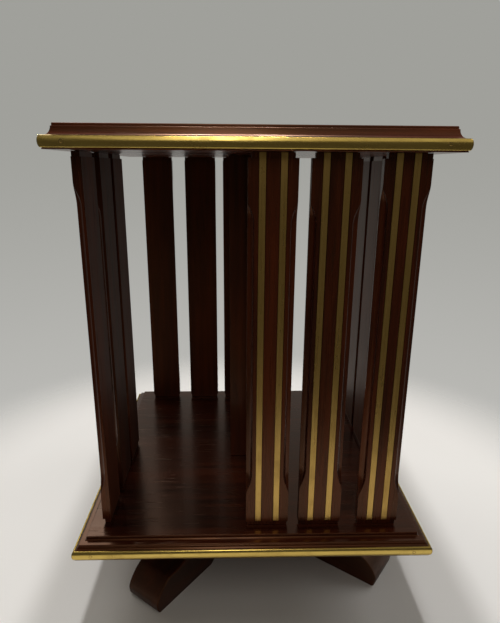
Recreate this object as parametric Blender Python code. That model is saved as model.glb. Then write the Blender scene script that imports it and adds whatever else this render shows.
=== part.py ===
# Revolving desktop book rack.
#
# A square case of dark mahogany stands on a cross of two halved arms and turns on
# one central bolt. On each side of the case one half is open for books and the
# other half is closed by three upright slats, so the plan is a pinwheel that
# repeats every quarter turn. Each slat has two inlaid brass strings, and coves
# along its front edges that stop in an ogee before the ends. Both boards have a
# moulded edge, trimmed with four mitred lengths of brass band.
#
# Units are metres. The frame stands on the floor plane z = 0, the turning axis
# is +Z through the origin, and the front of the case faces -Y.

import math

import bmesh
import bpy
from mathutils import Matrix, Vector

# Fits
GAP = 0.0003
CUT_OVERRUN = 0.004
WELD_DISTANCE = 0.000001
SIDES = 4

# Case heights, from the floor up
CASE_UNDERSIDE = 0.0596
OPENING_HEIGHT = 0.2706

# Bottom board, measured over its brass band
BOTTOM_OVERHANG = 0.0050
BOTTOM_THICKNESS = 0.0146
BOTTOM_FIELD_SETBACK = 0.0091
BOTTOM_STEP_DROP = 0.0031
BOTTOM_STEP_SLOPE = 0.0010
BOTTOM_FLAT_WIDTH = 0.0037
BOTTOM_FLAT_DROP = 0.0006
BOTTOM_QUIRK_DROP = 0.0011
BOTTOM_QUIRK_WIDTH = 0.0006

# Top board, measured over its brass band
TOP_WIDTH = 0.2540
TOP_THICKNESS = 0.0151
TOP_FILLET_SETBACK = 0.0069
TOP_FILLET_HEIGHT = 0.0018
TOP_FILLET_STEP = 0.0006
TOP_ARRIS = 0.0004
TOP_LEDGE_WIDTH = 0.0005

# Brass edge bands, a flattened half round
BAND_HEIGHT = 0.0070
BAND_THICKNESS = 0.0018
BAND_EDGE_THICKNESS = 0.0004
BAND_SEGMENTS = 8
LIP_HEIGHT = 0.0006
LIP_SETBACK = 0.0016
COVE_SEGMENTS = 6

# Slats, seen from outside: number 1 stands next to the open half, 3 at the corner
SLAT_SETBACK = 0.0130
SLAT_CORNER_INSET = 0.0050
SLAT_12_WIDTH_SHARE = 0.1244
SLAT_3_WIDTH_SHARE = 0.1189
SLAT_THICKNESS = 0.0063
SLAT_1_PLACE_SHARE = 0.0409
SLAT_2_PLACE_SHARE = 0.473
SLAT_COVE_WIDTH = 0.0043
SLAT_COVE_DEPTH = 0.0044
SLAT_QUIRK = 0.0006
SLAT_COVE_SEGMENTS = 5
SLAT_FOOT_OGEE_LENGTH = 0.0180
SLAT_HEAD_OGEE_LENGTH = 0.0145
SLAT_OGEE_SEGMENTS = 8
SLAT_OGEE_SKEW = 0.8
SLAT_1_FOOT_BLOCK = 0.0272
SLAT_2_FOOT_BLOCK = 0.0305
SLAT_3_FOOT_BLOCK = 0.0240
SLAT_12_HEAD_BLOCK = 0.0290
SLAT_3_HEAD_BLOCK = 0.0195
TOP_NECK_HEIGHT = 0.0036
TOP_NECK_INSET = 0.0023
TOP_NECK_SLIGHT_INSET = 0.0003
TOP_NECK_SETBACK = 0.0003
FOOT_NECK_HEIGHT = 0.0038
FOOT_NECK_INSET = 0.0008
FOOT_NECK_SETBACK = 0.0014
NECK_BACK_SETBACK = 0.0008
TENON_INSET = 0.0032
TENON_SETBACK = 0.0020
TENON_BACK_SETBACK = 0.0014
TENON_LENGTH = 0.0045

# Inlaid brass strings of the slats
STRING_WIDTH = 0.0042
STRING_DEPTH = 0.0012
STRING_ABOVE_NECK = 0.0006
STRING_12_PLACE_SHARE = 0.2120
STRING_3_PLACE_SHARE = 0.1854

# Hollow centre column, four boards that overlap round a square
COLUMN_WIDTH = 0.0360
COLUMN_WALL = 0.0045

# Cross base
ARM_REACH = 0.1423
ARM_WIDTH = 0.0330
ARM_EASE = 0.0006
ARM_FLAT_REACH = 0.0460
NOSE_HEIGHT = 0.0080
NOSE_UNDERCUT = 0.0031
NOSE_FOOT_SEGMENTS = 3
SHOULDER_RISE = 0.0170
SHOULDER_DEPTH = 0.0158
SHOULDER_FULLNESS_SHARE = 0.70
SHOULDER_SEGMENTS = 8
SWEEP_SEGMENTS = 16
RELIEF_REACH = 0.0780
RELIEF_HEIGHT = 0.0040
RELIEF_SLOPE = 0.0060
CROSS_TURN = math.radians(7.35)

# Swivel between base and case
PLATE_RADIUS = 0.0340
LOWER_PLATE_THICKNESS = 0.0020
UPPER_PLATE_THICKNESS = 0.0020
THRUST_WASHER_RADIUS = 0.0190
THRUST_WASHER_THICKNESS = 0.0010
TURNED_FACETS = 32

# Centre bolt, its washer and nut
BOLT_RADIUS = 0.0050
BOLT_HEAD_RADIUS = 0.0110
BOLT_HEAD_HEIGHT = 0.0045
BOLT_HEAD_EDGE = 0.0018
BOLT_HEAD_COVER = 0.0012
BOLT_END = 0.0020
BOLT_FACETS = 20
BOLT_WASHER_RADIUS = 0.0115
BOLT_WASHER_THICKNESS = 0.0015
NUT_ACROSS_FLATS = 0.0170
NUT_HEIGHT = 0.0080
HEXAGON = 6

# Smoothing
SHARP_ANGLE = math.radians(32.0)

# Heights and half widths that follow from the sizes above
FIELD_HEIGHT = CASE_UNDERSIDE + BOTTOM_THICKNESS
TOP_UNDERSIDE = FIELD_HEIGHT + OPENING_HEIGHT
TOP_HALF = TOP_WIDTH / 2
BOTTOM_HALF = TOP_HALF + BOTTOM_OVERHANG
SLAT_PLANE = TOP_HALF - SLAT_SETBACK
SLAT_12_WIDTH = TOP_WIDTH * SLAT_12_WIDTH_SHARE
SLAT_3_WIDTH = TOP_WIDTH * SLAT_3_WIDTH_SHARE
SLAT_1_FROM_AXIS = TOP_WIDTH * SLAT_1_PLACE_SHARE
SLAT_3_FROM_AXIS = SLAT_PLANE - SLAT_CORNER_INSET - SLAT_3_WIDTH / 2
SLAT_2_FROM_AXIS = SLAT_1_FROM_AXIS + (SLAT_3_FROM_AXIS - SLAT_1_FROM_AXIS) * SLAT_2_PLACE_SHARE
STRING_12_FROM_CENTRE = SLAT_12_WIDTH * STRING_12_PLACE_SHARE
STRING_3_FROM_CENTRE = SLAT_3_WIDTH * STRING_3_PLACE_SHARE
UPPER_PLATE_BASE = CASE_UNDERSIDE - GAP - UPPER_PLATE_THICKNESS
THRUST_WASHER_BASE = UPPER_PLATE_BASE - GAP - THRUST_WASHER_THICKNESS
LOWER_PLATE_BASE = THRUST_WASHER_BASE - GAP - LOWER_PLATE_THICKNESS
ARM_TOP = LOWER_PLATE_BASE - GAP
LAP_HEIGHT = (RELIEF_HEIGHT + ARM_TOP) / 2
BOLT_BORE_RADIUS = BOLT_RADIUS + GAP
HEAD_RECESS_DEPTH = BOLT_HEAD_HEIGHT + BOLT_HEAD_COVER


# Scene helpers
def clear_scene():
    for item in list(bpy.data.objects):
        bpy.data.objects.remove(item)


def make_material(name, colour, roughness, metallic):
    material = bpy.data.materials.new(name)
    material.use_nodes = True
    shader = material.node_tree.nodes["Principled BSDF"]
    shader.inputs["Base Color"].default_value = (*colour, 1.0)
    shader.inputs["Roughness"].default_value = roughness
    shader.inputs["Metallic"].default_value = metallic
    return material


def make_empty(name):
    empty = bpy.data.objects.new(name, None)
    bpy.context.collection.objects.link(empty)
    return empty


def make_object(name, mesh, material, parent):
    piece = bpy.data.objects.new(name, mesh)
    bpy.context.collection.objects.link(piece)
    if not mesh.materials:
        mesh.materials.append(material)
    piece.parent = parent
    return piece


def make_cutter(name, mesh, parent):
    cutter = bpy.data.objects.new(name, mesh)
    bpy.context.collection.objects.link(cutter)
    cutter.parent = parent
    cutter.hide_render = True
    cutter.display_type = "WIRE"
    return cutter


def cut(piece, cutter):
    modifier = piece.modifiers.new(cutter.name, "BOOLEAN")
    modifier.operation = "DIFFERENCE"
    modifier.solver = "EXACT"
    modifier.object = cutter


def finish_mesh(bm, name):
    bmesh.ops.remove_doubles(bm, verts=bm.verts, dist=WELD_DISTANCE)
    bmesh.ops.recalc_face_normals(bm, faces=bm.faces)
    mesh = bpy.data.meshes.new(name)
    bm.to_mesh(mesh)
    bm.free()
    mesh.shade_smooth()
    mesh.set_sharp_from_angle(angle=SHARP_ANGLE)
    return mesh


# Modelling helpers
def extrude_through(bm, rings):
    """Extrudes one face through a row of rings that have the same number of points."""
    start = bm.faces.new([bm.verts.new(point) for point in rings[0]])
    face = start
    for ring in rings[1:]:
        grown = bmesh.ops.extrude_face_region(bm, geom=[face])
        if face is not start:
            bmesh.ops.delete(bm, geom=[face], context="FACES_ONLY")
        face = next(part for part in grown["geom"] if isinstance(part, bmesh.types.BMFace))
        for vert, point in zip(face.verts, ring):
            vert.co = point


def square_rings(profile):
    """Turns an edge profile of (half width, height) points into square rings."""
    corners = ((-1, -1), (1, -1), (1, 1), (-1, 1))
    return [[(x * half, y * half, z) for x, y in corners] for half, z in profile]


def spin_profile(bm, profile, facets):
    """Turns a profile of (radius, height) points round the Z axis."""
    verts = [bm.verts.new((radius, 0, z)) for radius, z in profile]
    edges = [bm.edges.new(pair) for pair in zip(verts, verts[1:])]
    bmesh.ops.spin(
        bm, geom=verts + edges, cent=(0, 0, 0), axis=(0, 0, 1),
        angle=math.tau, steps=facets, use_merge=True, use_duplicate=False)


def turned_mesh(name, profile, facets):
    bm = bmesh.new()
    spin_profile(bm, profile, facets)
    return finish_mesh(bm, name)


def ring_profile(inner, outer, low, high):
    """A rectangle beside the axis, as the closed profile of a plate with a bore."""
    return [(inner, low), (outer, low), (outer, high), (inner, high), (inner, low)]


def add_box(bm, low, high, matrix):
    size = Vector(high) - Vector(low)
    middle = (Vector(high) + Vector(low)) / 2
    place = matrix @ Matrix.Translation(middle) @ Matrix.Diagonal((*size, 1))
    bmesh.ops.create_cube(bm, size=1, matrix=place)


def add_cylinder(bm, radius, low, high, facets, matrix):
    """A cylinder along the local Z axis between two heights."""
    place = matrix @ Matrix.Translation((0, 0, (low + high) / 2))
    bmesh.ops.create_cone(
        bm, cap_ends=True, cap_tris=False, segments=facets,
        radius1=radius, radius2=radius, depth=high - low, matrix=place)


def quarter_turn(side):
    return Matrix.Rotation(side * math.tau / SIDES, 4, "Z")


def hollow_quarter(foot, top, segments):
    """A concave quarter from the upright end of a cove at top out to its level foot."""
    width = foot[0] - top[0]
    height = top[1] - foot[1]
    steps = [math.pi / 2 * step / segments for step in range(segments + 1)]
    return [(foot[0] - width * math.cos(turn), top[1] - height * math.sin(turn)) for turn in steps]


def round_quarter(start, end, fullness_share, segments):
    """A convex quarter that leaves start upright and reaches end level.

    At a fullness share of 1 it is an ellipse, and at one half a straight slant.
    """
    width = start[0] - end[0]
    height = end[1] - start[1]
    points = [start]
    for step in range(1, segments):
        turn = math.pi / 2 * step / segments
        across = math.cos(turn) ** (1 / fullness_share)
        rise = math.sin(turn) ** (1 / fullness_share)
        points.append((end[0] + width * across, start[1] + height * rise))
    return points + [end]


# Boards and their brass bands
def edge_foot(half, low):
    """The underside, the lip below the band, and the flat edge that the band is pinned to."""
    edge = half - BAND_THICKNESS - GAP
    ledge = low + LIP_HEIGHT + BAND_HEIGHT + GAP
    return [
        (half - LIP_SETBACK, low),
        (half - LIP_SETBACK, low + LIP_HEIGHT),
        (edge, low + LIP_HEIGHT),
        (edge, ledge),
    ]


def bottom_board_profile():
    foot = edge_foot(BOTTOM_HALF, CASE_UNDERSIDE)
    field = BOTTOM_HALF - BOTTOM_FIELD_SETBACK
    flat_in = field + BOTTOM_STEP_SLOPE
    flat_out = flat_in + BOTTOM_FLAT_WIDTH
    flat_low = FIELD_HEIGHT - BOTTOM_STEP_DROP - BOTTOM_FLAT_DROP
    quirk = (flat_out + BOTTOM_QUIRK_WIDTH, flat_low - BOTTOM_QUIRK_DROP)
    cove = hollow_quarter(foot[-1], quirk, COVE_SEGMENTS)
    upper = [
        (flat_out, flat_low - BOTTOM_QUIRK_DROP),
        (flat_out, flat_low),
        (flat_in, FIELD_HEIGHT - BOTTOM_STEP_DROP),
        (field, FIELD_HEIGHT - BOTTOM_STEP_DROP + BOTTOM_FLAT_DROP),
        (field, FIELD_HEIGHT),
    ]
    return foot[:-1] + cove[::-1] + upper


def top_board_profile():
    foot = edge_foot(TOP_HALF, TOP_UNDERSIDE)
    surface = TOP_UNDERSIDE + TOP_THICKNESS
    fillet = TOP_HALF - TOP_FILLET_SETBACK
    fillet_foot = surface - TOP_FILLET_HEIGHT
    cove_foot = (foot[-1][0] - TOP_LEDGE_WIDTH, foot[-1][1])
    cove = hollow_quarter(cove_foot, (fillet + TOP_FILLET_STEP, fillet_foot), COVE_SEGMENTS)
    upper = [(fillet, fillet_foot), (fillet, surface - TOP_ARRIS), (fillet - TOP_ARRIS, surface)]
    return foot + cove[::-1] + upper


def band_section(half, low):
    """The band's flattened half round, from its lower edge round the crest to its upper edge."""
    back = half - BAND_THICKNESS
    rise = BAND_THICKNESS - BAND_EDGE_THICKNESS
    middle = low + BAND_HEIGHT / 2
    section = [(back, low)]
    for step in range(BAND_SEGMENTS + 1):
        turn = math.pi * step / BAND_SEGMENTS
        out = back + BAND_EDGE_THICKNESS + rise * math.sin(turn)
        section.append((out, middle - BAND_HEIGHT / 2 * math.cos(turn)))
    section.append((back, low + BAND_HEIGHT))
    return section


def band_mesh(name, half, low):
    section = band_section(half, low)
    left = [(-out + GAP, -out, z) for out, z in section]
    right = [(out - GAP, -out, z) for out, z in section]
    bm = bmesh.new()
    extrude_through(bm, [left, right])
    return finish_mesh(bm, name)


# Slats and strings
def slat_section(z, width, cove_share, insets, front, back):
    """One ring round a slat, with its front along -Y and a share of its full coves cut.

    The insets are those of the left and the right edge.
    """
    across = SLAT_COVE_WIDTH * cove_share
    quirk = SLAT_QUIRK * cove_share
    deep = SLAT_COVE_DEPTH * cove_share - quirk
    turns = [math.pi / 2 * step / SLAT_COVE_SEGMENTS for step in range(SLAT_COVE_SEGMENTS + 1)]
    edges = []
    for inset in insets:
        half = width / 2 - inset
        cove = [(half - across * math.sin(t), front + quirk + deep * math.cos(t)) for t in turns]
        edges.append([(half, SLAT_THICKNESS - back)] + cove + [(half - across, front)])
    left, right = edges
    return [(x, y, z) for x, y in right] + [(-x, y, z) for x, y in reversed(left)]


def ogee_stations(start, end):
    """Heights and cove shares along one stop, from the full block to the full cove."""
    stations = []
    for step in range(SLAT_OGEE_SEGMENTS + 1):
        along = step / SLAT_OGEE_SEGMENTS
        cove_share = (1 - math.cos(math.pi * along ** SLAT_OGEE_SKEW)) / 2
        stations.append((start + (end - start) * along, cove_share))
    return stations


def slat_mesh(name, width, foot_block, head_block, neck_insets):
    """A slat with its foot neck, stopped coves, top neck and stub tenons; z = 0 is the board."""
    top = OPENING_HEIGHT
    head_foot = top - head_block
    lower = ogee_stations(foot_block, foot_block + SLAT_FOOT_OGEE_LENGTH)
    upper = ogee_stations(head_foot, head_foot - SLAT_HEAD_OGEE_LENGTH)
    stations = [(FOOT_NECK_HEIGHT, 0)] + lower + upper[::-1] + [(top - TOP_NECK_HEIGHT, 0)]
    foot = ((FOOT_NECK_INSET, FOOT_NECK_INSET), FOOT_NECK_SETBACK, NECK_BACK_SETBACK)
    neck = (neck_insets, TOP_NECK_SETBACK, NECK_BACK_SETBACK)
    tenon = ((TENON_INSET, TENON_INSET), TENON_SETBACK, TENON_BACK_SETBACK)
    rings = [slat_section(z, width, 0, *tenon) for z in (-TENON_LENGTH, GAP)]
    rings += [slat_section(z, width, 0, *foot) for z in (GAP, FOOT_NECK_HEIGHT)]
    rings += [slat_section(z, width, cove_share, (0, 0), 0, 0) for z, cove_share in stations]
    rings += [slat_section(z, width, 0, *neck) for z in (top - TOP_NECK_HEIGHT, top - GAP)]
    rings += [slat_section(z, width, 0, *tenon) for z in (top - GAP, top + TENON_LENGTH)]
    bm = bmesh.new()
    extrude_through(bm, rings)
    return finish_mesh(bm, name)


def string_mesh(name):
    low = (-STRING_WIDTH / 2, 0, FOOT_NECK_HEIGHT + STRING_ABOVE_NECK)
    high = (STRING_WIDTH / 2, STRING_DEPTH, OPENING_HEIGHT - GAP)
    bm = bmesh.new()
    add_box(bm, low, high, Matrix.Identity(4))
    return finish_mesh(bm, name)


def grooves_mesh(name, string):
    """The grooves of both strings, open at the face and at the top of the slat."""
    half = STRING_WIDTH / 2 + GAP
    foot = FOOT_NECK_HEIGHT + STRING_ABOVE_NECK - GAP
    bm = bmesh.new()
    for centre in (-string, string):
        low = (centre - half, -CUT_OVERRUN, foot)
        high = (centre + half, STRING_DEPTH + GAP, OPENING_HEIGHT + CUT_OVERRUN)
        add_box(bm, low, high, Matrix.Identity(4))
    return finish_mesh(bm, name)


def slat_matrix(side, from_axis):
    return quarter_turn(side) @ Matrix.Translation((from_axis, -SLAT_PLANE, FIELD_HEIGHT))


def mortises_mesh(name, places, low, high):
    """Pockets for the stub tenons of all slats, between two heights above the field."""
    bm = bmesh.new()
    for side in range(SIDES):
        for width, from_axis in places:
            half = width / 2 - TENON_INSET + GAP
            near = (-half, TENON_SETBACK - GAP, low)
            far = (half, SLAT_THICKNESS - TENON_BACK_SETBACK + GAP, high)
            add_box(bm, near, far, slat_matrix(side, from_axis))
    return finish_mesh(bm, name)


# Cross base
def arm_outline():
    """Side view of one arm's end, from the middle of the underside round to the top."""
    toe = ARM_REACH - NOSE_UNDERCUT
    nose = (ARM_REACH, NOSE_HEIGHT)
    shoulder = (ARM_REACH - SHOULDER_DEPTH, NOSE_HEIGHT + SHOULDER_RISE)
    outline = [(RELIEF_REACH - RELIEF_SLOPE, RELIEF_HEIGHT), (RELIEF_REACH, 0)]
    for step in range(NOSE_FOOT_SEGMENTS):
        turn = math.pi / 2 * step / NOSE_FOOT_SEGMENTS
        swell = (toe + NOSE_UNDERCUT * math.sin(turn), NOSE_HEIGHT * (1 - math.cos(turn)))
        outline.append(swell)
    outline += round_quarter(nose, shoulder, SHOULDER_FULLNESS_SHARE, SHOULDER_SEGMENTS)
    for step in range(1, SWEEP_SEGMENTS + 1):
        along = step / SWEEP_SEGMENTS
        rise = (1 - math.cos(math.pi * along)) / 2
        reach = shoulder[0] + (ARM_FLAT_REACH - shoulder[0]) * along
        outline.append((reach, shoulder[1] + (ARM_TOP - shoulder[1]) * rise))
    return outline


def arm_mesh(name):
    half = arm_outline()
    outline = half + [(-reach, z) for reach, z in reversed(half)]
    sides = [[(reach, y, z) for reach, z in outline] for y in (-ARM_WIDTH / 2, ARM_WIDTH / 2)]
    bm = bmesh.new()
    extrude_through(bm, sides)
    bmesh.ops.recalc_face_normals(bm, faces=bm.faces)
    rims = [edge for edge in bm.edges if abs(edge.verts[0].co.y - edge.verts[1].co.y) < ARM_EASE]
    upper = [edge for edge in rims if min(vert.co.z for vert in edge.verts) > RELIEF_HEIGHT]
    bmesh.ops.bevel(
        bm, geom=upper, offset=ARM_EASE, offset_type="OFFSET", segments=1,
        profile=0.5, affect="EDGES", clamp_overlap=True)
    return finish_mesh(bm, name)


# The rack is built from here on
clear_scene()
wood = make_material("mahogany", (0.060, 0.022, 0.014), 0.28, 0.0)
inner_wood = make_material("mahogany_inside", (0.075, 0.030, 0.018), 0.40, 0.0)
brass = make_material("brass", (0.58, 0.42, 0.18), 0.30, 1.0)
steel = make_material("steel", (0.42, 0.41, 0.40), 0.40, 1.0)

base = make_empty("base_frame")
case = make_empty("case_frame")
cross = make_empty("cross_frame")
cross.parent = base
cross.rotation_euler.z = math.radians(45) + CROSS_TURN

slat_places = {
    "1": (SLAT_12_WIDTH, SLAT_1_FROM_AXIS, STRING_12_FROM_CENTRE),
    "2": (SLAT_12_WIDTH, SLAT_2_FROM_AXIS, STRING_12_FROM_CENTRE),
    "3": (SLAT_3_WIDTH, SLAT_3_FROM_AXIS, STRING_3_FROM_CENTRE),
}
slat_blocks = {
    "1": (SLAT_1_FOOT_BLOCK, SLAT_12_HEAD_BLOCK),
    "2": (SLAT_2_FOOT_BLOCK, SLAT_12_HEAD_BLOCK),
    "3": (SLAT_3_FOOT_BLOCK, SLAT_3_HEAD_BLOCK),
}
slat_necks = {
    "1": (TOP_NECK_INSET, TOP_NECK_INSET),
    "2": (TOP_NECK_INSET, TOP_NECK_INSET),
    "3": (TOP_NECK_INSET, TOP_NECK_SLIGHT_INSET),
}
slight_neck = (TOP_NECK_SLIGHT_INSET, TOP_NECK_SLIGHT_INSET)
side_names = ("front", "right", "back", "left")
mortise_places = [(width, from_axis) for width, from_axis, string in slat_places.values()]

# Case boards
bm = bmesh.new()
extrude_through(bm, square_rings(bottom_board_profile()))
bottom_board = make_object("bottom_board", finish_mesh(bm, "bottom_board"), wood, case)
bm = bmesh.new()
extrude_through(bm, square_rings(top_board_profile()))
top_board = make_object("top_board", finish_mesh(bm, "top_board"), wood, case)

foot_mortises = mortises_mesh(
    "foot_mortises", mortise_places, -TENON_LENGTH - GAP, CUT_OVERRUN)
cut(bottom_board, make_cutter("foot_mortise_cutter", foot_mortises, case))
head_mortises = mortises_mesh(
    "head_mortises", mortise_places,
    OPENING_HEIGHT - CUT_OVERRUN, OPENING_HEIGHT + TENON_LENGTH + GAP)
cut(top_board, make_cutter("head_mortise_cutter", head_mortises, case))

bm = bmesh.new()
add_cylinder(
    bm, BOLT_BORE_RADIUS, CASE_UNDERSIDE - CUT_OVERRUN, FIELD_HEIGHT + CUT_OVERRUN,
    BOLT_FACETS, Matrix.Identity(4))
cut(bottom_board, make_cutter("case_bore_cutter", finish_mesh(bm, "case_bore"), case))

# Brass bands
for name, half, low in (
        ("bottom", BOTTOM_HALF, CASE_UNDERSIDE + LIP_HEIGHT + GAP),
        ("top", TOP_HALF, TOP_UNDERSIDE + LIP_HEIGHT + GAP)):
    strip = band_mesh(f"{name}_band", half, low)
    for side, side_name in enumerate(side_names):
        band = make_object(f"{name}_band_{side_name}", strip, brass, case)
        band.matrix_local = quarter_turn(side)

# Slats and their strings
string_shape = string_mesh("slat_string")
for number, (width, from_axis, string) in slat_places.items():
    necked = slat_mesh(f"slat_{number}", width, *slat_blocks[number], slat_necks[number])
    straight = slat_mesh(f"back_slat_{number}", width, *slat_blocks[number], slight_neck)
    groove_shape = grooves_mesh(f"slat_{number}_grooves", string)
    for side, side_name in enumerate(side_names):
        slat_shape = straight if side_name == "back" else necked
        slat = make_object(f"{side_name}_slat_{number}", slat_shape, wood, case)
        slat.matrix_local = slat_matrix(side, from_axis)
        grooves = make_cutter(f"{side_name}_groove_cutter_{number}", groove_shape, case)
        grooves.matrix_local = slat_matrix(side, from_axis)
        cut(slat, grooves)
        for hand, across in (("left", -string), ("right", string)):
            inlay = make_object(
                f"{side_name}_slat_{number}_string_{hand}", string_shape, brass, case)
            inlay.matrix_local = slat_matrix(side, from_axis + across)

# Centre column
outer = COLUMN_WIDTH / 2
bm = bmesh.new()
add_box(
    bm, (-outer, -outer, FIELD_HEIGHT + GAP),
    (outer - COLUMN_WALL - GAP, -outer + COLUMN_WALL, TOP_UNDERSIDE - GAP), Matrix.Identity(4))
column_shape = finish_mesh(bm, "column_board")
for side, side_name in enumerate(side_names):
    column = make_object(f"column_board_{side_name}", column_shape, inner_wood, case)
    column.matrix_local = quarter_turn(side)

# Cross base: the lower arm is notched from above and the upper arm from below
lower_arm = make_object("base_arm_lower", arm_mesh("base_arm_lower"), wood, cross)
upper_arm = make_object("base_arm_upper", arm_mesh("base_arm_upper"), wood, cross)
upper_arm.matrix_local = quarter_turn(1)
notch = ARM_WIDTH / 2 + GAP
overrun_width = ARM_WIDTH / 2 + CUT_OVERRUN
bm = bmesh.new()
add_box(
    bm, (-notch, -overrun_width, LAP_HEIGHT),
    (notch, overrun_width, ARM_TOP + CUT_OVERRUN), Matrix.Identity(4))
cut(lower_arm, make_cutter("lower_lap_cutter", finish_mesh(bm, "lower_lap"), cross))
bm = bmesh.new()
add_box(
    bm, (-overrun_width, -notch, -CUT_OVERRUN),
    (overrun_width, notch, LAP_HEIGHT + GAP), Matrix.Identity(4))
cut(upper_arm, make_cutter("upper_lap_cutter", finish_mesh(bm, "upper_lap"), cross))

bm = bmesh.new()
add_cylinder(
    bm, BOLT_BORE_RADIUS, -CUT_OVERRUN, ARM_TOP + CUT_OVERRUN, BOLT_FACETS, Matrix.Identity(4))
base_bore = make_cutter("base_bore_cutter", finish_mesh(bm, "base_bore"), cross)
bm = bmesh.new()
add_cylinder(
    bm, BOLT_HEAD_RADIUS + GAP, -CUT_OVERRUN, RELIEF_HEIGHT + HEAD_RECESS_DEPTH + GAP,
    BOLT_FACETS, Matrix.Identity(4))
head_recess = make_cutter("head_recess_cutter", finish_mesh(bm, "head_recess"), cross)
cut(lower_arm, head_recess)
cut(lower_arm, base_bore)
cut(upper_arm, base_bore)

# Swivel plates and thrust washer
make_object("swivel_plate_lower", turned_mesh(
    "swivel_plate_lower",
    ring_profile(
        BOLT_BORE_RADIUS, PLATE_RADIUS, LOWER_PLATE_BASE,
        LOWER_PLATE_BASE + LOWER_PLATE_THICKNESS),
    TURNED_FACETS), steel, base)
make_object("thrust_washer", turned_mesh(
    "thrust_washer",
    ring_profile(
        BOLT_BORE_RADIUS, THRUST_WASHER_RADIUS, THRUST_WASHER_BASE,
        THRUST_WASHER_BASE + THRUST_WASHER_THICKNESS),
    TURNED_FACETS), brass, base)
make_object("swivel_plate_upper", turned_mesh(
    "swivel_plate_upper",
    ring_profile(
        BOLT_BORE_RADIUS, PLATE_RADIUS, UPPER_PLATE_BASE,
        UPPER_PLATE_BASE + UPPER_PLATE_THICKNESS),
    TURNED_FACETS), steel, case)

# Centre bolt, washer and nut
head_top = RELIEF_HEIGHT + HEAD_RECESS_DEPTH
head_base = head_top - BOLT_HEAD_HEIGHT
washer_base = FIELD_HEIGHT + GAP
nut_base = washer_base + BOLT_WASHER_THICKNESS + GAP
bolt_top = nut_base + NUT_HEIGHT + BOLT_END
dome = BOLT_HEAD_HEIGHT - BOLT_HEAD_EDGE
bolt_profile = [(0, head_base)]
bolt_profile += [
    (BOLT_HEAD_RADIUS * math.sin(math.pi / 2 * step / 3),
     head_base + dome * (1 - math.cos(math.pi / 2 * step / 3)))
    for step in range(1, 4)]
bolt_profile += [
    (BOLT_HEAD_RADIUS, head_top),
    (BOLT_RADIUS, head_top),
    (BOLT_RADIUS, bolt_top - BOLT_END / 2),
    (BOLT_RADIUS - BOLT_END / 2, bolt_top),
    (0, bolt_top),
]
make_object("pivot_bolt", turned_mesh("pivot_bolt", bolt_profile, BOLT_FACETS), steel, base)
make_object("pivot_washer", turned_mesh(
    "pivot_washer",
    ring_profile(
        BOLT_BORE_RADIUS, BOLT_WASHER_RADIUS, washer_base, washer_base + BOLT_WASHER_THICKNESS),
    BOLT_FACETS), steel, base)
bm = bmesh.new()
nut_corner = NUT_ACROSS_FLATS / 2 / math.cos(math.pi / HEXAGON)
add_cylinder(bm, nut_corner, nut_base, nut_base + NUT_HEIGHT, HEXAGON, Matrix.Identity(4))
nut = make_object("pivot_nut", finish_mesh(bm, "pivot_nut"), steel, base)
bm = bmesh.new()
add_cylinder(
    bm, BOLT_BORE_RADIUS, nut_base - CUT_OVERRUN, nut_base + NUT_HEIGHT + CUT_OVERRUN,
    BOLT_FACETS, Matrix.Identity(4))
cut(nut, make_cutter("nut_bore_cutter", finish_mesh(bm, "nut_bore"), base))
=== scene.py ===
# %% [markdown]
# # A revolving desktop book rack
#
# This lesson dresses a small mahogany book rack that turns on a cross of two
# halved arms. The joinery is finished before the lesson starts: every board, slat,
# brass band and brass string arrives as its own piece, at its real size. What is
# left is what the eye reads first: the soft edges, the polish, the grain, the
# aged brass, the small pins, and the light.
#
# The lesson is cut into cells. Run them from top to bottom.

# %% Load the rack
import math

import bmesh
import bpy
from mathutils import Matrix, Vector


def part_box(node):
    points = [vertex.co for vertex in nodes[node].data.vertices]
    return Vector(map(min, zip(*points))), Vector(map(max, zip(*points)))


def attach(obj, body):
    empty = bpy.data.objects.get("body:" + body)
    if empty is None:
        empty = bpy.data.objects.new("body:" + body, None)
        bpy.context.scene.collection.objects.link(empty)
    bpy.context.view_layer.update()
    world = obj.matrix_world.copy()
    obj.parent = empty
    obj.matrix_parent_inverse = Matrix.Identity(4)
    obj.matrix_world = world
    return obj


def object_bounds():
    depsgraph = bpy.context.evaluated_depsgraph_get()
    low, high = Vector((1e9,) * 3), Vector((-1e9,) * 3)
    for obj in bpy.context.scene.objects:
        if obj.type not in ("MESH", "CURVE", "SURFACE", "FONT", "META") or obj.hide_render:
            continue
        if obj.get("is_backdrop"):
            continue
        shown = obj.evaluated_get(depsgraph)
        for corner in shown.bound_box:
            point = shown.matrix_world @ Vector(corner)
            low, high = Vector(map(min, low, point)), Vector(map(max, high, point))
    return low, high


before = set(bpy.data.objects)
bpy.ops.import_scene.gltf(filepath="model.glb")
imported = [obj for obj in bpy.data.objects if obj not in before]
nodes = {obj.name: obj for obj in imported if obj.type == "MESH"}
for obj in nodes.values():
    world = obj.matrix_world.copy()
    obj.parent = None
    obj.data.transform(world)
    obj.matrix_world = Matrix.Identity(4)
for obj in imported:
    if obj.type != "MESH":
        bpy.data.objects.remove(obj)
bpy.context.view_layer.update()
print("pieces in the rack:", len(nodes))

# %% [markdown]
# ## Sums with sockets
#
# A procedural finish is a formula. Blender keeps the formula as nodes, which are
# slow to read as a list of links. A small class can wrap an output socket and give
# it Python's own operators, so that `1 - shade * 0.5` adds the two Math nodes by
# itself. The reflected forms, such as `__rsub__`, serve a number on the left side.

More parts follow.
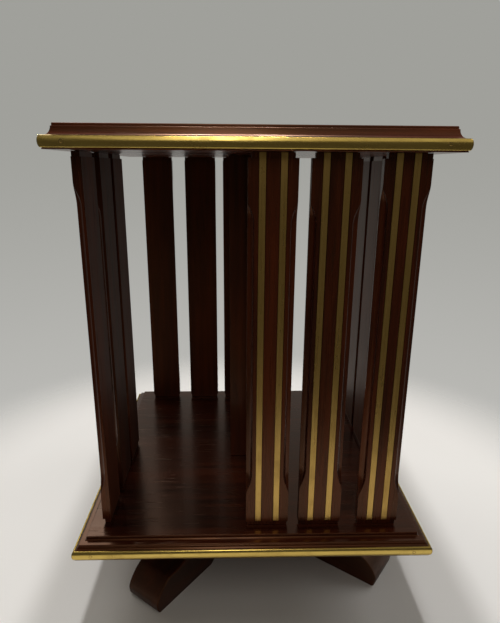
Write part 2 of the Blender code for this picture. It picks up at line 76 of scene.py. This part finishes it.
# %% The shader expressions
class Term:
    """An output socket that can be added, subtracted and multiplied."""

    def __init__(self, recipe, socket):
        self.recipe = recipe
        self.socket = socket

    def __add__(self, other):
        return self.recipe.sum("ADD", self, other)

    def __radd__(self, other):
        return self.recipe.sum("ADD", other, self)

    def __sub__(self, other):
        return self.recipe.sum("SUBTRACT", self, other)

    def __rsub__(self, other):
        return self.recipe.sum("SUBTRACT", other, self)

    def __mul__(self, other):
        return self.recipe.sum("MULTIPLY", self, other)

    def __rmul__(self, other):
        return self.recipe.sum("MULTIPLY", other, self)


operators = [name for name in vars(Term) if name.endswith(("add__", "sub__", "mul__"))]
print("operators that a socket now has:", operators)

# %% [markdown]
# The second class holds one node tree. Its `node` method takes a node's type, then
# its settings, which are set first, and then the numbers or links of its sockets.
# The other methods are short calls to it, for the nodes that come back all the time.
# The finishes use it, and so does the world.

# %% A recipe of nodes
class Recipe:
    """One node tree, with short ways to add nodes to it."""

    def __init__(self, tree):
        self.tree = tree

    def term(self, node, output=0):
        return Term(self, node.outputs[output])

    def node(self, kind, settings=None, sockets=None):
        made = self.tree.nodes.new(kind)
        for name, value in (settings or {}).items():
            setattr(made, name, value)
        for name, value in (sockets or {}).items():
            self.plug(made.inputs[name], value)
        return made

    def plug(self, socket, value):
        """Links the socket to a term, or gives it a number or a colour of its own."""
        if isinstance(value, Term):
            self.tree.links.new(value.socket, socket)
        else:
            socket.default_value = value

    def sum(self, operation, first, second):
        sockets = {0: first, 1: second}
        return self.term(self.node("ShaderNodeMath", {"operation": operation}, sockets))

    def fade(self, value, start, end):
        """0 up to start, 1 from end on, with a soft step between them."""
        settings = {"interpolation_type": "SMOOTHSTEP"}
        sockets = {0: value, 1: start, 2: end}
        return self.term(self.node("ShaderNodeMapRange", settings, sockets))

    def mix(self, factor, first, second):
        """Goes from the first colour to the second as the factor goes from 0 to 1."""
        sockets = {0: factor, 6: first, 7: second}
        return self.term(self.node("ShaderNodeMix", {"data_type": "RGBA"}, sockets), 2)


print("a recipe knows:", [name for name in vars(Recipe) if not name.startswith("_")])

# %% [markdown]
# A finish is the recipe of one material. It starts from the Principled shader and
# from each point's own place on the rack, so that a pattern stays on its piece when
# the case turns.

# %% A finish
class Finish(Recipe):
    """The recipe of one material."""

    def __init__(self, name):
        self.material = bpy.data.materials.new(name)
        self.material.use_nodes = True
        super().__init__(self.material.node_tree)
        self.shader = self.tree.nodes["Principled BSDF"]
        self.place = self.term(self.node("ShaderNodeTexCoord"), "Object")

    def stretch(self, scale, turn=(0, 0, 0)):
        """The place on the piece, turned, and then multiplied by a scale on each axis."""
        turned = self.node("ShaderNodeMapping", {"vector_type": "POINT"}, {
            "Vector": self.place, "Rotation": turn})
        scaled = self.node("ShaderNodeMapping", {"vector_type": "POINT"}, {
            "Vector": self.term(turned), "Scale": scale})
        return self.term(scaled)

    def noise(self, where, scale, detail=2.0, roughness=0.5, distortion=0.0):
        return self.term(self.node("ShaderNodeTexNoise", {}, {
            "Vector": where, "Scale": scale, "Detail": detail,
            "Roughness": roughness, "Distortion": distortion}))

    def bump(self, height, distance, strength):
        made = self.node("ShaderNodeBump", {}, {
            "Strength": strength, "Distance": distance, "Height": height})
        self.plug(self.shader.inputs["Normal"], self.term(made))

    def set(self, **values):
        """Sets the shader's sockets; an underscore in a name stands for a space."""
        for name, value in values.items():
            self.plug(self.shader.inputs[name.replace("_", " ")], value)


def dimmed(colour, light, yellow=1.0):
    """A colour multiplied by a light factor, as the four numbers that a socket takes; on the
    wood the factor is painted light and shade.
    """
    red, green, blue = colour
    return (red * light, green * light * yellow, blue * light, 1)


print("a finish adds:", [name for name in vars(Finish) if not name.startswith("_")])

# %% [markdown]
# ## Mahogany
#
# The rack is old mahogany, stained dark and french polished. Close up, such wood
# has three layers: broad ribbons that run lighter and darker where the grain winds
# to and fro, fine dark pores that look like short dashes along the grain, and the
# polish itself, a thin glossy coat that mirrors the room. All three run along the
# board, so each piece needs a pattern that is stretched along its own length. The
# boards are made of straight wood, so stretched noise is enough and no ring
# pattern is needed.
#
# The polisher's pad reaches the outer faces of the slats far better than the faces
# that look into the case. Those are therefore duller. A point's distance from the
# middle of the rack tells the two apart, so one material serves all twelve slats.

# %% The colours and scales of the wood
deep_brown = (0.014, 0.0032, 0.0026)
warm_red = (0.105, 0.0185, 0.0055)
open_pore = (0.010, 0.004, 0.003, 1)
ribbons, streaks, pores, clouds = 26, 150, 620, 14   # how many in a metre, roughly
slat_inner_face = 0.1079   # a hair outside the inner faces, 107.7 mm from the middle
along_board = (0.05, 1.0, 1.0)
along_slat = (1.0, 1.0, 0.05)
print("a ribbon is about", round(1000 / ribbons), "mm wide, and a pore",
      round(1000 / pores, 1), "mm")

# %% The mahogany finish
def outer_polish(wood, inner_face):
    """0 on faces that look into the case, 1 from a millimetre further out."""
    place = wood.node("ShaderNodeSeparateXYZ", {}, {0: wood.place})
    across = wood.sum("ABSOLUTE", wood.term(place, "X"), 0)
    along = wood.sum("ABSOLUTE", wood.term(place, "Y"), 0)
    outward = wood.sum("MAXIMUM", across, along)
    return wood.fade(outward, inner_face, inner_face + 0.001)


def mahogany(name, scale, light, turn=(0, 0, 0), gloss=0.20, inner_face=None):
    """Polished wood, its colours scaled by the light factor, which paints in the light or
    shade that the piece gets. The scale is small along the grain, which thereby stretches.
    """
    wood = Finish(name)
    polish = outer_polish(wood, inner_face) if inner_face else 1.0
    grain = wood.stretch(scale, turn)
    ribbon = wood.noise(grain, ribbons, detail=3, roughness=0.55, distortion=0.4)
    streak = wood.noise(grain, streaks, detail=4, roughness=0.65)
    pore = wood.fade(wood.noise(grain, pores), 0.60, 0.70)
    cloud = wood.noise(wood.place, clouds)
    deep = dimmed(deep_brown, light)
    tone = wood.fade(ribbon * 0.55 + streak * 0.45, 0.36, 0.66)
    colour = wood.mix(tone, deep, dimmed(warm_red, light))
    colour = wood.mix(wood.fade(cloud, 0.35, 0.75) * 0.35, colour, deep)
    colour = wood.mix(pore * 0.55, colour, open_pore)
    wood.set(
        Base_Color=colour,
        Roughness=gloss + 0.14 * streak + 0.10 * pore + 0.28 * (1 - polish),
        Specular_IOR_Level=0.55, Specular_Tint=(1.0, 0.44, 0.18, 1),
        Coat_Weight=0.06 * polish, Coat_Roughness=0.08, Coat_IOR=1.50)
    wood.bump(streak * 0.4 - pore, distance=0.00006, strength=0.5)
    return wood.material


# Each piece gets its own copy of the mahogany, lighter or darker by its light factor: painted
# light on the top board, and painted shade on the bottom board under it and on the slats,
# whose fronts the top board shades. The column's copy is 0.8 as light.
top_wood = mahogany("mahogany_top_board_painted_light", along_board, light=1.3)
bottom_wood = mahogany("mahogany_bottom_board_painted_shade", along_board, light=0.45, gloss=0.15)
slat_wood = mahogany("mahogany_slats_painted_shade", along_slat, light=0.68, inner_face=slat_inner_face)
column_wood = mahogany("mahogany_column", along_slat, light=0.8, gloss=0.32)
print("wood finishes:", top_wood.name, bottom_wood.name, slat_wood.name, column_wood.name)

# %% [markdown]
# The arms of the base lie at an odd angle, because the case was turned a little on
# its base when the picture was taken. Their grain follows each arm, so the pattern
# is turned by the arm's own angle before it is stretched. Turning the pattern is
# simpler than unwrapping the arms, and it stays true in the halved joint.

# %% The wood of the arms
arm_angle = math.radians(52.35)
arm_angles = {"base_arm_lower": arm_angle, "base_arm_upper": arm_angle + math.pi / 2}
arm_wood = {}
for node_name, angle in arm_angles.items():
    # The arms' copies are 0.40 as light: painted shade, for the arms lie in the case's
    # shadow.
    arm_wood[node_name] = mahogany(
        "mahogany_" + node_name, along_board, light=0.40, turn=(0, 0, -angle), gloss=0.34)
print("arms:", {name: round(math.degrees(angle), 2) for name, angle in arm_angles.items()})

# %% [markdown]
# ## Brass
#
# The edge bands and the strings are brass that has been rubbed along its length
# for many years. It is bright where hands and cloths reach, browner in blotches
# where they don't, and it has faint scratches along the strip. A bump could cut the
# scratches into the surface, but on strips this narrow it only makes dark specks.
# So they change the colour and the roughness alone, and the glare stays whole.

# %% The brass finish
worn_brass = (0.70, 0.46, 0.14)
plain_brass = (0.48, 0.29, 0.075)
tarnished_brass = (0.22, 0.11, 0.032)
scratches, blotches = 420, 45   # how many in a metre, roughly


def aged_brass(name, scale, gloss=0.24, light=1.0, yellow=1.0):
    """Brass with blotches, and scratches that follow the direction of the small scale."""
    brass = Finish(name)
    scratch = brass.noise(brass.stretch(scale), scratches, detail=3, roughness=0.7)
    blotch = brass.noise(brass.place, blotches, detail=4, roughness=0.6)
    blotch = brass.fade(blotch, 0.45, 0.72)
    clean = brass.mix(
        scratch, dimmed(plain_brass, light, yellow), dimmed(worn_brass, light, yellow))
    colour = brass.mix(blotch * 0.30, clean, dimmed(tarnished_brass, light, yellow))
    brass.set(
        Base_Color=colour, Metallic=1.0,
        Roughness=gloss + 0.08 * scratch + 0.10 * blotch)
    return brass.material


string_brass = aged_brass("brass_strings", (1.0, 1.0, 0.03), light=0.88)
band_look = {"gloss": 0.14, "light": 1.05, "yellow": 1.12}
band_brass_x = aged_brass("brass_bands_x", (0.03, 1.0, 1.0), **band_look)
band_brass_y = aged_brass("brass_bands_y", (1.0, 0.03, 1.0), **band_look)
print("brass finishes:", string_brass.name, band_brass_x.name, band_brass_y.name)

# %% [markdown]
# The plates, the bolt and the nut of the swivel are plain turned steel. The case
# hides them almost wholly, so a fine noise in the roughness says enough about the
# marks of the lathe.

# %% The steel of the swivel
turning_marks = 900   # how many in a metre, roughly
steel = Finish("turned_steel")
turning = steel.noise(steel.place, turning_marks)
steel.set(Base_Color=(0.42, 0.41, 0.39, 1), Metallic=1.0, Roughness=0.30 + 0.25 * turning)
print("steel finish:", steel.material.name)

# %% [markdown]
# ## Finishes and soft edges
#
# Each piece gets its finish by its name. The front and back bands run along X and
# the others along Y, so they take the brass whose scratches run their way.
#
# No real edge is quite sharp: sanding and polishing round it, and it then catches
# a line of light. The solids stay as the joiner made them, so modifiers do the
# rounding. The pieces arrive as loose triangles, which Weld joins before Bevel can
# find their edges, and Weighted Normal keeps the flat faces flat.

# %% Give each piece its finish
def finish_of(name):
    if name in arm_wood:
        return arm_wood[name]
    if name.startswith("column"):
        return column_wood
    if "string" in name:
        return string_brass
    if "band" in name:
        return band_brass_y if name.endswith(("left", "right")) else band_brass_x
    if name.startswith(("swivel", "pivot")):
        return steel.material
    if name == "thrust_washer":
        return band_brass_x
    if "slat" in name:
        return slat_wood
    return top_wood if name == "top_board" else bottom_wood


for name, piece in nodes.items():
    piece.data.materials.clear()
    piece.data.materials.append(finish_of(name))
print("pieces with a finish:", len(nodes))

# %% Soften the edges
edge_radius, string_edge_radius = 0.00030, 0.00012
weld_distance = 0.00001
sharp_from = math.radians(32)


def soften(piece, width):
    """Rounds the sharp edges a little, as sanding and polishing do."""
    piece.data.shade_smooth()
    weld = piece.modifiers.new("weld", "WELD")
    weld.merge_threshold = weld_distance
    bevel = piece.modifiers.new("soft_edges", "BEVEL")
    bevel.width = width
    bevel.segments = 2
    bevel.limit_method = "ANGLE"
    bevel.angle_limit = sharp_from
    normals = piece.modifiers.new("normals", "WEIGHTED_NORMAL")
    normals.weight = 50
    normals.keep_sharp = True


wood_and_brass = ("slat", "band", "board", "arm")
softened = [name for name in nodes if any(part in name for part in wood_and_brass)]
for name in softened:
    soften(nodes[name], string_edge_radius if "string" in name else edge_radius)
print("pieces with soft edges:", len(softened))

# %% [markdown]
# ## Pins and screws
#
# Small round pins hold the brass bands. Each was filed flush, so that only a
# hairline of old polish shows round its head. The plates of the swivel have slotted
# screws. Both are the same shape: a short cylinder with a ring inset in its face,
# and the ring takes the second finish of the mesh. A painted ring would do from
# afar, but a real one keeps its edge close up. A shallow dimple in each pin takes
# the same dark finish too, and the screws' slots are thin dark slabs on the heads,
# not cuts: painted shade.

# %% A head with a seam round it
head_segments = 20
dimple_depth = 0.0001


def add_head(bm, place, radius, seam, depth, dimple=0.0):
    """Adds a round head whose face lies in the place's own XY plane and looks along its Z."""
    sunk = place @ Matrix.Translation((0, 0, -depth / 2))
    made = bmesh.ops.create_cone(
        bm, cap_ends=True, segments=head_segments, depth=depth,
        radius1=radius + seam, radius2=radius + seam, matrix=sunk)
    outward = place.to_3x3() @ Vector((0, 0, 1))
    faces = {face for vertex in made["verts"] for face in vertex.link_faces}
    face = max(faces, key=lambda each: each.calc_center_median().dot(outward))
    ring = bmesh.ops.inset_region(bm, faces=[face], thickness=seam, depth=0)
    for part in ring["faces"]:
        part.material_index = 1
    if dimple:
        bmesh.ops.inset_region(
            bm, faces=[face], thickness=radius - dimple, depth=-dimple_depth)
        face.material_index = 1


def finished(name, bm, finishes, body):
    """Turns the bmesh into an object that moves with a body of the rack."""
    mesh = bpy.data.meshes.new(name)
    bm.to_mesh(mesh)
    bm.free()
    for finish in finishes:
        mesh.materials.append(finish)
    made = bpy.data.objects.new(name, mesh)
    bpy.context.scene.collection.objects.link(made)
    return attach(made, body)


# The dark second finish: old polish in the seams round the heads, also laid in the pins'
# dimples, and painted shade where it lies on the screw slots.
old_polish_and_painted_shade = Finish("old_polish_and_painted_shade")
old_polish_and_painted_shade.set(Base_Color=(0.030, 0.018, 0.009, 1), Roughness=0.6)
pin_brass = aged_brass("brass_pins", (1.0, 1.0, 1.0), gloss=0.28)
print("finishes of the heads:", pin_brass.name, old_polish_and_painted_shade.material.name)

# %% The pins of the bands
pin_radius, pin_seam, pin_dimple, pin_depth = 0.0010, 0.0002, 0.0004, 0.0012
pin_from_corner = 0.0136
toward_viewer = Matrix.Rotation(math.pi / 2, 4, "X")
for board in ("top", "bottom"):
    low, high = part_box(board + "_band_front")
    middle = (low.z + high.z) / 2
    bm = bmesh.new()
    for side in range(4):
        turn = Matrix.Rotation(side * math.pi / 2, 4, "Z")
        for along in (low.x + pin_from_corner, high.x - pin_from_corner):
            place = turn @ Matrix.Translation((along, low.y, middle)) @ toward_viewer
            add_head(bm, place, pin_radius, pin_seam, pin_depth, pin_dimple)
    pins = finished(board + "_band_pins", bm, (pin_brass, old_polish_and_painted_shade.material), "rack")
    print(pins.name, "has", len(pins.data.polygons), "faces at height", round(middle, 4))

# %% The screws of the swivel plates
screw_radius, screw_seam, screw_depth = 0.0028, 0.0002, 0.0010
screw_circle = 0.0285
slot_length, slot_width, slot_depth = screw_radius * 1.9, 0.0006, 0.00004
upside_down = Matrix.Rotation(math.pi, 4, "X")
lower_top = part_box("swivel_plate_lower")[1].z
upper_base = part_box("swivel_plate_upper")[0].z
for name, height, flip, first, body in (
        ("lower_plate_screws", lower_top, Matrix.Identity(4), arm_angle, "base"),
        ("upper_plate_screws", upper_base, upside_down, 0.0, "rack")):
    bm = bmesh.new()
    for step in range(4):
        turn = Matrix.Rotation(first + step * math.pi / 2, 4, "Z")
        place = turn @ Matrix.Translation((screw_circle, 0, height)) @ flip
        add_head(bm, place, screw_radius, screw_seam, screw_depth)
        # The slot is a thin dark slab on the head rather than a cut: painted shade where a
        # real slot would be in shade.
        painted_slot_shade = bmesh.ops.create_cube(bm, size=1, matrix=place @ Matrix.Diagonal(
            (slot_length, slot_width, slot_depth, 1)))
        for face in {face for vertex in painted_slot_shade["verts"] for face in vertex.link_faces}:
            face.material_index = 1
    screws = finished(name, bm, (steel.material, old_polish_and_painted_shade.material), body)
    print(screws.name, "has", len(screws.data.polygons), "faces")

# %% [markdown]
# ## Floor and light
#
# The rack stands on a pale table. Polished wood and brass show the room more than
# their own colour, so the room matters: the table is bright near the rack and ends
# a short way out, and beyond it lies whatever the world shows. The table's edge is
# made soft by a second, transparent shader, mixed in with the distance from the
# middle. A matt surface near the rack carries its shadow.

# %% The table
table_radius, table_fades_from = 0.46, 0.28
table_colour = (0.86, 0.86, 0.86, 1)
bm = bmesh.new()
bmesh.ops.create_circle(bm, cap_ends=True, segments=96, radius=table_radius)
table_mesh = bpy.data.meshes.new("table")
bm.to_mesh(table_mesh)
bm.free()
table = bpy.data.objects.new("table", table_mesh)
bpy.context.scene.collection.objects.link(table)

cover = Finish("pale_cloth")
cover.set(Base_Color=table_colour, Roughness=0.8)
distance = cover.node("ShaderNodeVectorMath", {"operation": "LENGTH"}, {0: cover.place})
beyond = cover.fade(cover.term(distance, "Value"), table_fades_from, table_radius)
clear = cover.node("ShaderNodeBsdfTransparent")
edge = cover.node("ShaderNodeMixShader", {}, {
    0: beyond, 1: cover.term(cover.shader, "BSDF"), 2: cover.term(clear, "BSDF")})
surface = cover.tree.nodes["Material Output"].inputs["Surface"]
cover.plug(surface, cover.term(edge, "Shader"))
table.data.materials.append(cover.material)
table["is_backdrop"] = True
print("the table reaches", table_radius, "m from the middle")

# %% [markdown]
# Six lamps light the rack. Two small ones hang almost overhead, so that the top
# board shades the heads of the slats and the rack's shadow falls close round it.
# Three wide ones, behind, to the right and in front, are weak and keep the dark wood
# readable from every side. The sixth is a tall narrow strip in front, which the
# half-round brass mirrors as a glare. A photographer would put a flag on a stand to
# keep such a strip off the table, where it would fill the shadow. Light linking does
# the same in Blender: the strip gets a collection in which the table is excluded.

# %% The lamps
def lamp(name, place, aim, size, watts, colour=(1, 1, 1)):
    """A rectangular lamp that shines from a place towards an aim, both in metres."""
    light = bpy.data.lights.new(name, "AREA")
    light.shape = "RECTANGLE"
    light.size, light.size_y = size
    light.energy = watts
    light.color = colour
    made = bpy.data.objects.new(name, light)
    made.location = place
    made.rotation_mode = "QUATERNION"
    made.rotation_quaternion = (Vector(aim) - Vector(place)).to_track_quat("-Z", "Y")
    bpy.context.scene.collection.objects.link(made)
    print(name, "lamp:", watts, "watts")
    return made


foot, rack_middle, upper_front = (0, 0, 0), (0, 0, 0.20), (0.02, -0.13, 0.35)
small, wide = (0.14, 0.14), (1.20, 0.80)
lamp("overhead left", (-0.16, 0.06, 2.20), foot, small, 14.5, (1.0, 0.98, 0.95))
lamp("overhead right", (0.12, 0.06, 2.20), foot, small, 13.5, (1.0, 0.98, 0.95))
lamp("back", (-0.90, 1.10, 1.50), rack_middle, wide, 8, (1.0, 0.97, 0.92))
lamp("right", (1.30, 0.30, 1.20), rack_middle, wide, 5, (1.0, 0.98, 0.94))
lamp("front", (0.35, -1.25, 1.40), upper_front, (2.00, 1.40), 4, (1.0, 0.97, 0.90))
strip = lamp("strip", (-0.06, -0.935, 1.50), (-0.06, -0.132, 0.35), (0.26, 2.00), 5.5)

spared = bpy.data.collections.new("spared_by_the_strip")
spared.objects.link(table)
spared.collection_objects[0].light_linking.link_state = "EXCLUDE"
strip.light_linking.receiver_collection = spared

# %% [markdown]
# The world has two jobs, and Light Path tells its rays apart. To the camera, to
# gloss and to glass it is the backdrop: pale behind the rack, a little paler lower
# down, and mid grey on the viewer's side, so that the upright strings mirror it
# darker towards their heads. To every other ray it is a weak light that is dim but
# for one side behind the rack. A backdrop of real cloth would look the same, but it
# would stand in the way of the lamps.

# %% The world
def paint(red, green, blue):
    """A colour as it looks on a screen, from 0 to 255, as the linear values of a shader."""
    linear = [((part / 255 + 0.055) / 1.055) ** 2.4 for part in (red, green, blue)]
    return (*linear, 1)


backdrop_high, backdrop_low = paint(160, 160, 155), paint(190, 189, 185)
viewer_side = paint(80, 78, 74)
dim_light, pale_light = (0.050, 0.037, 0.022, 1), (0.50, 0.44, 0.35, 1)

world = bpy.data.worlds.new("room")
bpy.context.scene.world = world
world.use_nodes = True
room = Recipe(world.node_tree)
direction = room.term(room.node("ShaderNodeTexCoord"), "Generated")


def facing(way):
    """How far a ray runs a given way: 1 along it, 0 across it and -1 against it."""
    settings = {"operation": "DOT_PRODUCT"}
    made = room.node("ShaderNodeVectorMath", settings, {0: direction, 1: way})
    return room.term(made, "Value")


height = room.term(room.node("ShaderNodeSeparateXYZ", {}, {0: direction}), "Z")
behind_rack = room.mix(room.fade(height, 0.10, -0.60), backdrop_high, backdrop_low)
backdrop = room.mix(room.fade(facing((0, 1, 0)), -0.20, 0.45), viewer_side, behind_rack)
soft_light = room.mix(room.fade(facing((-0.55, 0.83, 0)), 0.55, 0.95), dim_light, pale_light)

ray = room.node("ShaderNodeLightPath")
seen = room.sum("MAXIMUM", room.term(ray, "Is Camera Ray"), room.term(ray, "Is Glossy Ray"))
seen = room.sum("MAXIMUM", seen, room.term(ray, "Is Transmission Ray"))
background = room.tree.nodes["Background"].inputs["Color"]
room.plug(background, room.mix(seen, soft_light, backdrop))
print("backdrop behind the rack:", [round(part, 3) for part in backdrop_high[:3]])

# %% [markdown]
# ## The camera
#
# The camera stands where the photograph was taken from: a little left of the
# middle, under half a metre away and just below the top board, looking down. The
# lens is wide, so the near edges spread and the upright slats lean outwards. The
# place, the three turns and the lens were fitted to the corners of the rack in the
# picture. A constraint that aims the camera at a point would lose its slight roll,
# so the camera gets a whole matrix.

# %% The camera
camera_place = Vector((-0.01284, -0.43146, 0.3361))
yaw, pitch, roll = math.radians(1.690), math.radians(16.241), math.radians(0.411)
sensor, picture_height, focal_length_in_pixels = 36, 623, 498.68
ahead = Vector((
    math.sin(yaw) * math.cos(pitch),
    math.cos(yaw) * math.cos(pitch),
    -math.sin(pitch)))
level = Vector((math.cos(yaw), -math.sin(yaw), 0))
upward = level.cross(ahead)
right = math.cos(roll) * level + math.sin(roll) * upward
up = math.cos(roll) * upward - math.sin(roll) * level

camera_data = bpy.data.cameras.new("camera")
camera = bpy.data.objects.new("camera", camera_data)
bpy.context.scene.collection.objects.link(camera)
camera_data.sensor_width = sensor
camera_data.lens = sensor * focal_length_in_pixels / picture_height
camera_data.clip_start = 0.01
camera.matrix_world = Matrix((
    (right.x, up.x, -ahead.x, camera_place.x),
    (right.y, up.y, -ahead.y, camera_place.y),
    (right.z, up.z, -ahead.z, camera_place.z),
    (0, 0, 0, 1)))
bpy.context.scene.camera = camera
bpy.context.scene.view_settings.view_transform = "Standard"
print("lens in millimetres:", round(camera_data.lens, 2))

# %% [markdown]
# ## Measure and finish
#
# The finishes and the pins mustn't make the rack any bigger than its joinery. The
# last cell measures the finished rack.

# %% Measure and finish
low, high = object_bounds()
